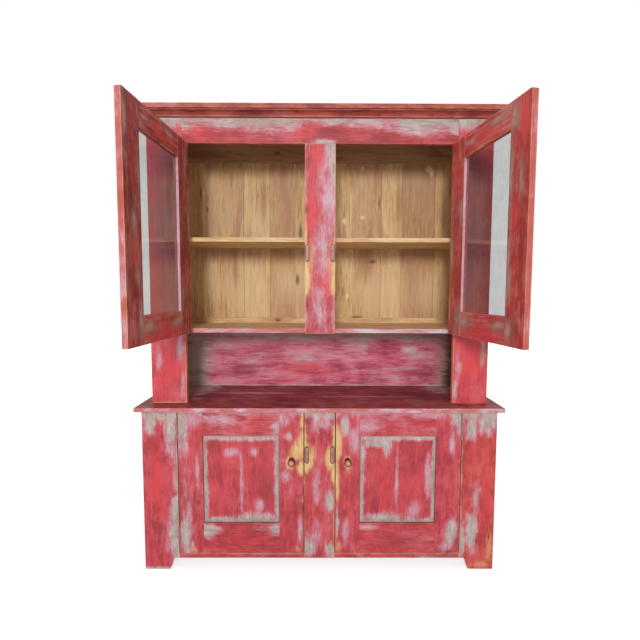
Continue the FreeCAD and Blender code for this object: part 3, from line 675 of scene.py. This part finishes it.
def paint_lower_outer_stiles():
    paint("lower_left_stile", raw="K", seed=1.0, wax=0.45,
          edges={"grey": [("T", 30, 40), ("R", 3, 10)]},
          marks={"grey": [(0.25, 0.94, 20, 40), (0.85, 0.88, 24, 90), (0.92, 0.36, 18, 60),
                          (0.90, 0.20, 24, 80), (0.45, 0.0, 80, 8)],
                 "lilac": [(0.92, 0.57, 8, 62)],
                 "bright": [(0.40, 0.55, 30, 160)]})
    paint("lower_right_stile", raw="K", seed=1.0, wax=0.1, tone="scarlet",
          edges={"grey": [("T", 36, 50)], "lilac": [("L", 3, 10)]},
          marks={"grey": [(0.75, 0.93, 34, 40), (0.25, 0.90, 22, 46), (0.35, 0.24, 20, 64),
                          (0.06, 0.18, 12, 60)],
                 "lilac": [(0.45, 0.45, 16, 60)],
                 "bright": [(0.30, 0.75, 22, 50), (0.75, 0.45, 26, 120)],
                 "tan": [(0.88, 0.15, 14, 80), (0.70, 0.025, 40, 14)],
                 "nick": [(0.86, 0.21, 4, 27)]})


def paint_lower_centre_stile():
    paint("lower_centre_stile", raw="K", seed=1.0, wax=0.6,
          edges={"grey": [("T", 28, 30)], "tan": [("LR", 3, 4)]},
          marks={"grey": [(0.82, 0.40, 14, 34), (0.15, 0.08, 24, 44), (0.90, 0.05, 18, 30)],
                 "lilac": [(0.50, 0.91, 50, 24), (0.40, 0.50, 14, 60), (0.40, 0.15, 16, 50)],
                 "bare": [(0.02, 0.82, 8, 60), (0.12, 0.71, 20, 44), (0.04, 0.63, 10, 30),
                          (0.98, 0.80, 8, 56), (0.88, 0.70, 20, 44), (0.97, 0.58, 8, 40)]})


def paint_lower_boards():
    paint("lower_floor_board", grain="across", seed=1.0, wax=0.9, raw="K")
    paint("counter_top", grain="across", tone="crimson", seed=5.0, wax=0.3, rub=4.0, threads=(DUST, 0.6),
          edges={"rose": [("B", 1, 1)]},
          marks={"grey": [(0.09, 0.80, 100, 130), (0.91, 0.85, 90, 100)],
                 "lilac": [(0.30, 0.60, 160, 10), (0.62, 0.45, 200, 8)],
                 "deep": [(0.45, 0.70, 120, 60), (0.75, 0.55, 120, 60)]})


def paint_lower_sides():
    for side, start, inside in (("left", 6.0, "K"), ("right", 7.0, "F")):
        paint(f"lower_{side}_side", seed=start, wax=0.5, raw=inside,
              edges={"grey": [("T", 30, 34)], "lilac": [("LR", 14, 24), ("B", 10, 20)]},
              marks={"grey": [(0.20, 0.88, 34, 70), (0.75, 0.25, 44, 110)],
                     "lilac": [(0.35, 0.55, 16, 160), (0.62, 0.70, 14, 120), (0.50, 0.08, 120, 30)]})


def paint_upper_outer_stiles():
    # Painted light and shade on both stiles: the bright tone and the bright oval low down lift the shade cast
    # by the open doors, the large darker oval is painted shade where the stile is seen through the glass, and
    # the dark band along the top is a painted shadow under the crown
    paint("upper_left_stile", raw="K", seed=8.0, wax=0.5, tone="bright", free="LB",
          edges={"grey": [("T", 28, 14)], "line": [("T", 22, 3)]},
          marks={"lilac": [(0.22, 0.16, 12, 50), (0.85, 0.20, 14, 50), (0.88, 0.06, 10, 40)],
                 "grey": [(0.50, 0.985, 90, 26)],
                 "pale": [(0.60, 0.99, 60, 14)],
                 "dull": [(0.55, 0.60, 90, 420)],
                 "bright": [(0.50, 0.10, 50, 100)],
                 "tan": [(0.50, 0.0, 90, 8), (1.0, 0.12, 5, 200)]})
    paint("upper_right_stile", raw="K", seed=9.0, wax=0.3, tone="bright", free="RB",
          edges={"grey": [("T", 28, 14)], "line": [("T", 22, 3)]},
          marks={"lilac": [(0.15, 0.13, 12, 50), (0.08, 0.05, 12, 40), (0.85, 0.20, 10, 60)],
                 "grey": [(0.50, 0.98, 90, 34)],
                 "pale": [(0.30, 0.99, 60, 14)],
                 "dull": [(0.45, 0.60, 90, 420)],
                 "tan": [(0.88, 0.17, 12, 30), (0.0, 0.12, 5, 200)],
                 "bright": [(0.45, 0.14, 80, 160)]})


def paint_frieze():
    # The dark band along the top is a painted shadow under the crown
    paint("upper_top_rail", grain="across", raw="K", tone="frieze", seed=10.0, wax=0.2, free="TB", long=0.7,
          edges={"grey": [("T", 26, 20)], "line": [("T", 22, 3)]},
          marks={"grey": [(0.0, 0.80, 70, 36), (1.0, 0.78, 90, 44), (0.06, 0.90, 90, 26),
                          (0.20, 0.86, 120, 36), (0.33, 0.84, 110, 40), (0.58, 0.88, 90, 28),
                          (0.88, 0.82, 160, 40), (0.52, 0.04, 34, 14)],
                 "lilac": [(0.20, 0.78, 60, 26), (0.70, 0.80, 100, 28)],
                 "pale": [(0.03, 0.95, 60, 12), (0.30, 0.93, 90, 12)],
                 "bright": [(0.05, 0.45, 60, 40), (0.42, 0.50, 80, 34)]})


def paint_upper_centre_stile():
    paint("upper_centre_stile", raw="K", seed=11.0, wax=0.9,
          edges={"lilac": [("R", 8, 24), ("L", 2, 16)], "tan": [("LR", 2, 4)]},
          marks={"grey": [(0.90, 0.98, 26, 26), (0.94, 0.88, 10, 60)],
                 "lilac": [(0.82, 0.72, 32, 180), (0.58, 0.47, 34, 100), (0.45, 0.15, 26, 64)],
                 "bare": [(0.02, 0.45, 8, 90), (0.04, 0.30, 10, 60), (0.98, 0.42, 8, 90),
                          (0.97, 0.27, 8, 60)],
                 "tan": [(0.14, 0.40, 24, 90), (0.88, 0.40, 22, 90)],
                 "bright": [(0.45, 0.93, 26, 40), (0.25, 0.62, 30, 90), (0.70, 0.27, 20, 50)],
                 "nick": [(0.08, 0.16, 4, 40)]})


def paint_niche():
    # Painted light and shade in the niche: the rose tone is its mauve paint made lighter to lift the shade
    # under the upper case, the pale patch at the left end is pale paint and a painted lift, and the right end
    # is darkened partly by dust and partly by painted shade
    paint("niche_back_board", grain="across", raw="K", tone="rose", seed=12.0, wax=0.8, threads=(WAX, 0.6),
          long=0.45,
          edges={"grey": [("L", 130, 60), ("B", 4, 3), ("T", 56, 40)], "dust": [("R", 120, 50)],
                 "lilac": [("T", 80, 50)], "line": [("R", 90, 120)]},
          marks={"lilac": [(0.15, 0.68, 70, 15), (0.35, 0.75, 110, 15), (0.25, 0.40, 60, 14),
                           (0.45, 0.47, 60, 14), (0.66, 0.68, 30, 30), (0.86, 0.52, 60, 30),
                           (0.80, 0.30, 140, 10)],
                 "deep": [(0.16, 0.60, 110, 34), (0.20, 0.22, 110, 24), (0.85, 0.75, 90, 22),
                          (0.90, 0.20, 60, 30)],
                 "pale": [(0.05, 0.45, 60, 160), (0.82, 0.62, 40, 16), (0.30, 0.92, 200, 14),
                          (0.70, 0.94, 200, 12)],
                 "bright": [(0.45, 0.30, 120, 30)]})


def paint_upper_sides():
    cupboard_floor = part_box("upper_floor_board")[0].z
    for side, start, inside in (("left", 13.0, "K"), ("right", 14.0, "F")):
        paint(f"upper_{side}_side", seed=start, wax=0.5, raw=inside, raw_above=cupboard_floor,
              edges={"grey": [("T", 24, 30)], "lilac": [("LR", 10, 24), ("B", 10, 20)]},
              marks={"grey": [(0.25, 0.93, 34, 60), (0.80, 0.35, 34, 150)],
                     "lilac": [(0.45, 0.60, 16, 220), (0.65, 0.20, 16, 150), (0.30, 0.30, 12, 120)]})


def paint_crown():
    paint("crown_cap", grain="across", tone="brick", seed=15.0, wax=0.45, rub=5.0)
    for number, node in enumerate(("crown_front", "crown_left_return", "crown_right_return")):
        grain = "across" if node == "crown_front" else "deep"
        paint(node, grain=grain, tone="brick", seed=16.0 + number, wax=0.3)


def paint_lower_door_stiles():
    rims = {"lilac": [("T", 14, 26)], "tan": [("LR", 1, 3)]}
    paint("lower_left_door_stiles", seed=20.0, wax=0.5, edges=rims, free="LRTB",
          marks={"grey": [(0.03, 0.90, 20, 90), (0.05, 0.13, 22, 76)],
                 "lilac": [(0.10, 0.95, 36, 30), (0.15, 0.60, 6, 60), (0.08, 0.30, 12, 50),
                           (0.84, 0.95, 24, 22), (0.88, 0.83, 14, 14), (0.86, 0.55, 22, 22),
                           (0.97, 0.18, 8, 50)],
                 "tan": [(0.12, 0.02, 14, 12), (0.95, 0.03, 14, 16)],
                 "bare": [(1.0, 0.94, 16, 30), (0.99, 0.78, 16, 50), (0.95, 0.71, 26, 36),
                          (0.89, 0.65, 14, 26), (0.98, 0.62, 14, 30)]})
    paint("lower_right_door_stiles", seed=21.0, wax=0.2, edges=rims, free="LRTB",
          marks={"grey": [(0.07, 0.92, 12, 34), (0.01, 0.24, 7, 50), (0.98, 0.95, 18, 50),
                          (0.94, 0.14, 20, 50)],
                 "lilac": [(0.15, 0.80, 18, 44), (0.08, 0.16, 12, 44), (0.93, 0.80, 9, 60),
                           (0.90, 0.05, 30, 20)],
                 "tan": [(0.02, 0.04, 20, 28), (0.10, 0.62, 16, 30)],
                 "bare": [(0.01, 0.77, 14, 66), (0.01, 0.52, 8, 88), (0.10, 0.65, 12, 22)]})


def paint_lower_door_rails():
    top = {"left": {"lilac": [(0.20, 0.70, 70, 24)], "grey": [(0.98, 0.30, 18, 26)]},
           "right": {"lilac": [(0.10, 0.50, 50, 30), (0.90, 0.90, 66, 18)]}}
    bottom = {"left": {"grey": [(0.06, 0.75, 36, 26), (0.96, 0.80, 30, 24)],
                       "bright": [(0.50, 0.40, 120, 30)]},
              "right": {"lilac": [(0.10, 0.87, 40, 10)], "deep": [(0.55, 0.40, 80, 22)]}}
    for number, side in enumerate(("left", "right")):
        paint(f"lower_{side}_door_top_rail", grain="across", seed=20.0 + number, wax=0.6, free="TB",
              edges={"lilac": [("T", 8, 16)]}, marks=top[side])
        paint(f"lower_{side}_door_bottom_rail", grain="across", seed=20.0 + number, wax=0.45, free="TB",
              marks=bottom[side])


def paint_lower_door_panels():
    fields = {"left": {"lilac": [(0.38, 0.80, 24, 14), (0.66, 0.80, 16, 14), (0.50, 0.42, 6, 110),
                                 (0.73, 0.22, 14, 24)],
                       "grey": [(0.70, 0.06, 90, 22), (0.30, 0.05, 60, 14)],
                       "deep": [(0.80, 0.40, 40, 90)]},
              "right": {"lilac": [(0.49, 0.55, 6, 110), (0.70, 0.16, 18, 36), (0.88, 0.55, 10, 90)],
                        "grey": [(0.37, 0.88, 14, 34), (0.31, 0.06, 90, 22), (0.20, 0.90, 50, 14)],
                        "bright": [(0.33, 0.39, 16, 130)]}}
    for number, side in enumerate(("left", "right")):
        # The dark line around each panel's bevel is a painted shadow of the gap beside the frame
        paint(f"lower_{side}_door_panel", seed=26.0 + number, wax=0.0, threads=(PINK, 0.10),
              edges={"grey": [("LRTB", 25, 12)], "line": [("LRTB", 12, 3)]}, marks=fields[side])


def upper_door_look(side):
    """What the parts of an upper door share: dry, dusty paint with wide rubbed corners."""
    seed, pale_share = (30.0, 0.38) if side == "left" else (31.0, 0.55)
    return {"seed": seed, "wax": 0.1, "threads": (DUST_PALE, pale_share), "rub": 6.0}


def paint_upper_door_stiles():
    # The thin tall lilac line at the inner edge of each hinge stile is a painted highlight of the lit rebate
    # edge by the glass
    stiles = {"left": {"dust": [(0.97, 0.85, 16, 140), (0.88, 0.52, 20, 70), (0.86, 0.27, 16, 50),
                                (0.83, 0.12, 22, 70), (0.08, 0.85, 16, 80), (0.02, 0.60, 12, 80),
                                (0.15, 0.20, 14, 60), (0.82, 0.70, 10, 120)],
                       "deep": [(0.92, 0.60, 24, 160), (0.12, 0.50, 24, 160), (0.95, 0.30, 20, 80)],
                       "bright": [(0.90, 0.68, 16, 60), (0.90, 0.40, 16, 40), (0.05, 0.35, 12, 60)],
                       "lilac": [(0.203, 0.50, 2, 900)]},
              "right": {"dust": [(0.18, 0.92, 26, 60), (0.18, 0.72, 12, 140), (0.08, 0.68, 20, 70),
                                 (0.18, 0.35, 12, 140), (0.16, 0.07, 40, 50), (0.97, 0.42, 18, 100),
                                 (0.83, 0.60, 10, 90), (0.86, 0.08, 30, 44)],
                        "deep": [(0.05, 0.40, 20, 160), (0.92, 0.60, 24, 120), (0.88, 0.25, 20, 90)],
                        "bright": [(0.06, 0.92, 26, 70), (0.12, 0.55, 20, 70), (0.92, 0.85, 16, 80)],
                        "lilac": [(0.797, 0.50, 2, 900)]}}
    for side, tone, latch in (("left", "rust", "R"), ("right", "scarlet", "L")):
        paint(f"upper_{side}_door_stiles", tone=tone, marks=stiles[side], free="LRTB",
              edges={"rim": [(latch, 1, 1)]}, **upper_door_look(side))


def paint_upper_door_rails():
    top = {"dust": [(0.30, 0.70, 44, 14), (0.85, 0.50, 44, 12)], "bright": [(0.55, 0.50, 80, 24)]}
    bottom = {"dust": [(0.12, 0.65, 60, 26), (0.88, 0.60, 60, 26)], "bright": [(0.50, 0.30, 120, 34)]}
    for side, top_tone, bottom_tone in (("left", "rust", "scarlet"), ("right", "scarlet", "bright")):
        look = upper_door_look(side)
        paint(f"upper_{side}_door_top_rail", grain="across", tone=top_tone, free="TB", marks=top, **look)
        paint(f"upper_{side}_door_bottom_rail", grain="across", tone=bottom_tone, free="TB", marks=bottom,
              **look)


def paint_beads():
    for side, start, tone in (("left", 36.0, "rust"), ("right", 37.0, "scarlet")):
        paint(f"upper_{side}_door_beads", seed=start, wax=0.7, tone=tone, rounding=0)


def board_starts(node):
    """The left edge of each board of a boarded back, from the left, read from its mesh."""
    edges = sorted({round(vertex.co.x, 4) for vertex in frame["nodes"][node].data.vertices})
    return edges[::2]


def dress_back_boards():
    """Pine backs. The upper one's knots, stains and chips were placed one by one."""
    knots = [(0.08, 0.73, 8, 50), (0.10, 0.64, 8, 20), (0.43, 0.52, 12, 60), (0.42, 0.26, 12, 36),
             (0.69, 0.36, 26, 16), (0.71, 0.68, 7, 40), (0.63, 0.05, 40, 14), (0.73, 0.89, 12, 12)]
    stains = [(0.845, 0.68, 5, 110), (0.30, 0.70, 24, 160), (0.78, 0.66, 20, 150), (0.20, 0.30, 16, 120),
              (0.66, 0.36, 50, 120), (0.94, 0.60, 20, 200)]
    # The pale patches low on the upper back are a painted lift of light, as the lower part of the cupboard is
    # lit more than its top, with some pale wood among them
    pale = [(0.25, 0.18, 190, 190), (0.40, 0.25, 140, 140), (0.72, 0.18, 220, 170), (0.29, 0.60, 90, 110),
            (0.10, 0.25, 100, 140), (0.90, 0.20, 120, 150)]
    chips = [(0.885, 0.86, 26, 20), (0.895, 0.84, 12, 34), (0.65, 0.86, 12, 18), (0.585, 0.58, 14, 18),
             (0.652, 0.60, 16, 12), (0.60, 0.17, 12, 20)]
    upper = {"knots": knots, "stains": stains, "pale": pale, "chips": chips, "seed": 40.0}
    lower = {"knots": [(0.3, 0.4, 12, 20), (0.7, 0.6, 14, 24)], "seed": 41.0}
    for node, look in (("upper_back_boards", upper), ("lower_back_boards", lower)):
        dress(node, pine(node, starts=board_starts(node), **look), BACK_ROUND)


def dress_shelves():
    boards = ("upper_shelf", "upper_floor_board", "lower_shelf", "back_rail", "back_batten")
    for number, node in enumerate(boards):
        # The back rail's darkening is partly its own darker wood and partly painted shade
        dark = 0.45 if node == "back_rail" else 0.0
        lip = 0.9 if node == "upper_floor_board" else 0.0
        wood = pine(node, grain="across", knots=[(0.35, 0.5, 20, 12)], dark=dark, lip=lip, seed=42.0 + number)
        dress(node, wood)


def dress_fittings():
    for level in ("lower", "upper"):
        for side in ("left", "right"):
            button = f"{level}_{side}_turn_button"
            hinges = f"{level}_{side}_door_hinges"
            dress(button, button_wood(button), BUTTON_ROUND)
            dress(hinges, hinge_iron(hinges), 0)
    for side in ("left", "right"):
        dress(f"lower_{side}_door_knob", knob_paint(f"lower_{side}_door_knob"), 0)
        dress(f"upper_{side}_door_glass", window_glass(f"upper_{side}_door_glass"), 0)
    for node in ("case_hinge_leaves", "case_hinge_screws"):
        dress(node, hinge_iron(node), 0)
    dress("button_screws", screw_steel("button_screws"), 0)


def seen_or_mirrored(sheet):
    """1 where the camera sees a surface directly, in gloss or through glass, and 0 for the light it gives."""
    path = sheet.nodes.new("ShaderNodeLightPath")
    seen = sheet.maths("MAXIMUM", path.outputs["Is Camera Ray"], path.outputs["Is Glossy Ray"])
    return sheet.maths("MAXIMUM", seen, path.outputs["Is Transmission Ray"])


def make_floor():
    """A plain pale floor that meets the white background and keeps the buffet's shadow."""
    mesh = bpy.data.meshes.new("floor")
    corners = [(x * FLOOR_HALF, y * FLOOR_HALF, -FLOOR_DROP) for x, y in ((-1, -1), (1, -1), (1, 1), (-1, 1))]
    mesh.from_pydata(corners, [], [(0, 1, 2, 3)])
    floor = bpy.data.objects.new("floor", mesh)
    bpy.context.scene.collection.objects.link(floor)
    sheet = Sheet("floor")
    diffuse = sheet.nodes.new("ShaderNodeBsdfDiffuse")
    speck = sheet.noise(sheet.place(), 40, 3)
    sheet.feed(diffuse.inputs["Color"], sheet.colours(speck, (0.3, FLOOR_SPECK), (0.7, FLOOR_COLOUR)))
    glow = sheet.nodes.new("ShaderNodeEmission")
    sheet.feed(glow.inputs["Color"], BACKGROUND_COLOUR)
    away = sheet.smooth(sheet.vector("LENGTH", sheet.place()), FLOOR_NEAR, FLOOR_FAR)
    strength = sheet.maths("MULTIPLY_ADD", away, 1.0 - FLOOR_GLOW, FLOOR_GLOW)
    sheet.feed(glow.inputs["Strength"], sheet.maths("MULTIPLY", seen_or_mirrored(sheet), strength))
    both = sheet.nodes.new("ShaderNodeAddShader")
    sheet.links.new(diffuse.outputs[0], both.inputs[0])
    sheet.links.new(glow.outputs[0], both.inputs[1])
    output = sheet.nodes.new("ShaderNodeOutputMaterial")
    sheet.links.new(both.outputs[0], output.inputs["Surface"])
    mesh.materials.append(sheet.material)


def make_world():
    """An even pale surround that looks white behind the buffet and lights it gently."""
    world = bpy.data.worlds.new("studio")
    bpy.context.scene.world = world
    world.use_nodes = True
    nodes, links = world.node_tree.nodes, world.node_tree.links
    nodes.clear()
    path = nodes.new("ShaderNodeLightPath")
    strength = path.outputs["Is Camera Ray"]
    for name in ("Is Glossy Ray", "Is Transmission Ray"):
        highest = nodes.new("ShaderNodeMath")
        highest.operation = "MAXIMUM"
        links.new(strength, highest.inputs[0])
        links.new(path.outputs[name], highest.inputs[1])
        strength = highest.outputs[0]
    level = nodes.new("ShaderNodeMath")
    level.operation = "MULTIPLY_ADD"
    level.inputs[1].default_value = 1.0 - AMBIENT
    level.inputs[2].default_value = AMBIENT
    links.new(strength, level.inputs[0])
    background = nodes.new("ShaderNodeBackground")
    background.inputs["Color"].default_value = linear(BACKGROUND_COLOUR)
    links.new(level.outputs[0], background.inputs["Strength"])
    output = nodes.new("ShaderNodeOutputWorld")
    links.new(background.outputs[0], output.inputs["Surface"])


def make_key_lamp():
    """One large soft lamp behind the camera, a little left and above."""
    lamp = bpy.data.lights.new("key", "AREA")
    lamp.shape = "DISK"
    lamp.size = KEY_SIZE
    lamp.energy = KEY_POWER
    key = bpy.data.objects.new("key", lamp)
    key.location = KEY_PLACE
    key.rotation_euler = (KEY_TARGET - KEY_PLACE).to_track_quat("-Z", "Y").to_euler()
    bpy.context.scene.collection.objects.link(key)


def make_camera():
    """The camera whose place and lens were fitted together with the buffet's sizes."""
    camera = bpy.data.cameras.new("camera")
    camera.lens = CAMERA_LENS
    camera.sensor_width = CAMERA_SENSOR
    camera.clip_end = CAMERA_CLIP
    viewer = bpy.data.objects.new("camera", camera)
    yaw = Matrix.Rotation(CAMERA_YAW, 4, "Z")
    pitch = Matrix.Rotation(pi / 2 + CAMERA_PITCH, 4, "X")
    roll = Matrix.Rotation(CAMERA_ROLL, 4, "Z")
    viewer.matrix_world = Matrix.Translation(CAMERA_PLACE) @ yaw @ pitch @ roll
    bpy.context.scene.collection.objects.link(viewer)
    bpy.context.scene.camera = viewer


note_size()
paint_lower_outer_stiles()
paint_lower_centre_stile()
paint_lower_boards()
paint_lower_sides()
paint_upper_outer_stiles()
paint_frieze()
paint_upper_centre_stile()
paint_niche()
paint_upper_sides()
paint_crown()
paint_lower_door_stiles()
paint_lower_door_rails()
paint_lower_door_panels()
paint_upper_door_stiles()
paint_upper_door_rails()
paint_beads()
dress_back_boards()
dress_shelves()
dress_fittings()
make_floor()
make_world()
make_key_lamp()
make_camera()
bpy.context.scene.view_settings.view_transform = "Standard"
note_size()
